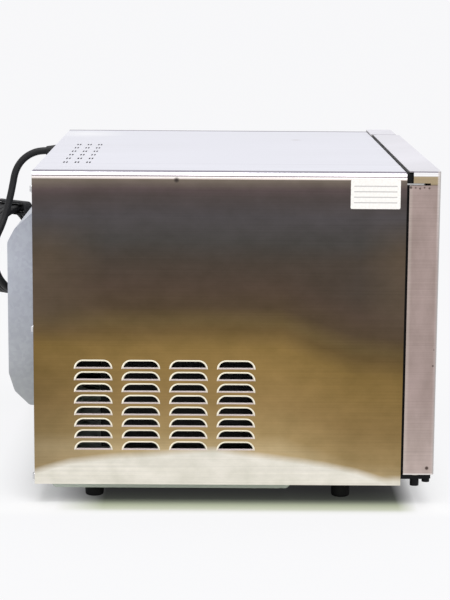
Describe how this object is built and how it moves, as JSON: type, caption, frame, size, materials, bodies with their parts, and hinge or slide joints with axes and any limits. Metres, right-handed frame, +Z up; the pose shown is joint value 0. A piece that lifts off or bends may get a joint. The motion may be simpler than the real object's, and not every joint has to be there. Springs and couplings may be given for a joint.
{
  "type": "benchtop reflow oven",
  "caption": "Benchtop convection reflow oven with louvred stainless casing, side-hinged glazed door, wire board rack, fan-driven chamber, control panel and mains lead.",
  "frame": {"origin": "on the bench, under the middle of the oven without its mains lead", "axes": "+Z up, the door faces -Y, the width runs along X with the hinge at -X"},
  "size_m": [0.5258, 0.573, 0.3425],
  "materials": {
    "casing_sheet": "brushed stainless sheet, satin",
    "rear_sheet": "galvanised sheet, soft spangle",
    "bright_steel": "bright nickel-plated steel",
    "machined_steel": "turned or ground steel",
    "black_steel": "semi-gloss black paint",
    "frame_paint": "heat-resistant black paint",
    "liner_steel": "heat-dulled stainless",
    "heater_sheath": "oxidised heater sheath",
    "ceramic": "white glazed ceramic beads",
    "wool": "soft ceramic fibre",
    "aluminium_parts": "satin aluminium",
    "motor_paint": "grey motor enamel",
    "black_plastic": "moulded black",
    "black_rubber": "moulded rubber",
    "seal_silicone": "red silicone",
    "bush_polymer": "bearing polymer",
    "magnet_nickel": "nickel-plated magnet",
    "pane_glass": "tinted heat-resistant glass",
    "screen_lens": "dark display lens",
    "board_green": "solder-masked board",
    "button_green": "green cap",
    "button_red": "red cap",
    "button_white": "white cap",
    "cord_jacket": "black flexible jacket"
  },
  "bodies": {
    "cabinet": {"outer_wrap": "casing_sheet", "rear_panel": "rear_sheet", "rear_fan_cover": "rear_sheet", "base_pan": "rear_sheet", "feet": "black_rubber", "wrap_screws": "bright_steel", "front_frame": "frame_paint", "chamber_liner": "liner_steel", "ceramic_wool": "wool", "air_baffle": "liner_steel", "left_rack_rail": "liner_steel", "right_rack_rail": "liner_steel", "upper_heater": "heater_sheath", "lower_heater": "heater_sheath", "heater_terminals": "ceramic", "thermocouple": "bright_steel", "fan_motor": "motor_paint", "motor_bracket": "rear_sheet", "exhaust_duct": "rear_sheet", "bay_fan_frame": "black_plastic", "power_board": "board_green", "relay_heatsink": "aluminium_parts", "lower_hinge_plate": "black_steel", "lower_hinge_pin": "black_steel", "upper_hinge_arm": "machined_steel", "upper_hinge_pin": "machined_steel", "control_fascia": "casing_sheet", "control_board": "board_green", "display_window": "screen_lens", "rocker_housing": "black_plastic", "cord_gland": "black_plastic", "cord_lead": "cord_jacket", "cord_coil": "cord_jacket", "cord_tail": "cord_jacket", "cord_plug": "black_rubber"},
    "door": {"door_skin": "casing_sheet", "door_inner_frame": "frame_paint", "outer_glass": "pane_glass", "inner_glass": "pane_glass", "door_gasket": "seal_silicone", "hinge_bushes": "bush_polymer", "handle_posts": "machined_steel", "handle_bar": "bright_steel", "latch_magnets": "magnet_nickel"},
    "rack": {"board_rack": "bright_steel"},
    "circulation_fan_train": {"circulation_fan": "liner_steel", "fan_shaft": "machined_steel", "motor_cooling_blade": "aluminium_parts"},
    "bay_fan": {"bay_fan_rotor": "black_plastic"},
    "knob": {"setting_knob": "black_plastic"},
    "rocker": {"mains_rocker": "button_red"},
    "button_1_body": {"button_1": "button_green"},
    "button_2_body": {"button_2": "button_red"},
    "button_3_body": {"button_3": "button_white"},
    "button_4_body": {"button_4": "button_white"},
    "button_5_body": {"button_5": "button_white"},
    "button_6_body": {"button_6": "button_white"}
  },
  "joints": [
    {"name": "door_swing", "type": "hinge", "parent": "cabinet", "child": "door", "pos_m": [-0.253, -0.18315, 0.187], "axis": [0, 0, -1], "range_deg": [0, 110]},
    {"name": "rack_slide", "type": "slide", "parent": "cabinet", "child": "rack", "axis": [0, -1, 0], "range_m": [0, 0.15]},
    {"name": "fan_spin", "type": "hinge", "parent": "cabinet", "child": "circulation_fan_train", "pos_m": [-0.0275, 0.1, 0.176], "axis": [0, 1, 0], "continuous": true},
    {"name": "bay_fan_spin", "type": "hinge", "parent": "cabinet", "child": "bay_fan", "pos_m": [0.215, 0.195, 0.09], "axis": [0, 1, 0], "continuous": true},
    {"name": "knob_turn", "type": "hinge", "parent": "cabinet", "child": "knob", "pos_m": [0.222, -0.2, 0.1675], "axis": [0, 1, 0], "continuous": true},
    {"name": "rocker_tilt", "type": "hinge", "parent": "cabinet", "child": "rocker", "pos_m": [0.222, -0.19225, 0.0795], "axis": [1, 0, 0], "range_deg": [-12, 0]},
    {"name": "button_1_press", "type": "slide", "parent": "cabinet", "child": "button_1_body", "axis": [0, 1, 0], "range_m": [0, 0.0012], "stiffness_N_per_m": 400},
    {"name": "button_2_press", "type": "slide", "parent": "cabinet", "child": "button_2_body", "axis": [0, 1, 0], "range_m": [0, 0.0012], "stiffness_N_per_m": 400},
    {"name": "button_3_press", "type": "slide", "parent": "cabinet", "child": "button_3_body", "axis": [0, 1, 0], "range_m": [0, 0.0012], "stiffness_N_per_m": 400},
    {"name": "button_4_press", "type": "slide", "parent": "cabinet", "child": "button_4_body", "axis": [0, 1, 0], "range_m": [0, 0.0012], "stiffness_N_per_m": 400},
    {"name": "button_5_press", "type": "slide", "parent": "cabinet", "child": "button_5_body", "axis": [0, 1, 0], "range_m": [0, 0.0012], "stiffness_N_per_m": 400},
    {"name": "button_6_press", "type": "slide", "parent": "cabinet", "child": "button_6_body", "axis": [0, 1, 0], "range_m": [0, 0.0012], "stiffness_N_per_m": 400}
  ],
  "couplings": [
    {"joint": "rack_slide", "follows": "door_swing", "m_per_rad": 0.0781}
  ]
}
